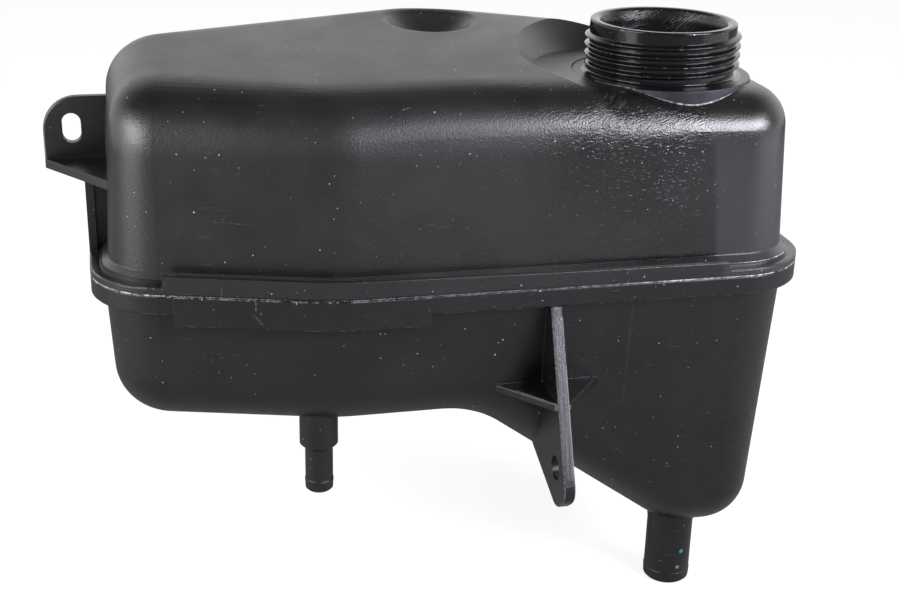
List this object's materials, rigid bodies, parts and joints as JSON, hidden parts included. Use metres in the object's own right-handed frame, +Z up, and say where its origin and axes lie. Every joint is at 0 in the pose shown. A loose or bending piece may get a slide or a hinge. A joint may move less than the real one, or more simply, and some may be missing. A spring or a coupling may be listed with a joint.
{
  "type": "coolant expansion tank",
  "caption": "Black moulded coolant expansion tank of welded half shells with a threaded filler neck, hose spigots below, a slotted ear and a fin bracket.",
  "frame": {"origin": "on the filler neck's axis, at the flat platform round the neck", "axes": "+Z up along the neck, the way its cap leaves; +X along the straight front wall towards the neck's end; +Y from the front wall to the back"},
  "size_m": [0.2881, 0.1762, 0.2384],
  "materials": {
    "shell": "black, fine moulded grain, satin where rubbed",
    "neck": "glossy black, worn crests"
  },
  "bodies": {
    "root": {"upper_shell": "shell", "lower_shell": "shell", "filler_neck": "neck"}
  },
  "joints": []
}
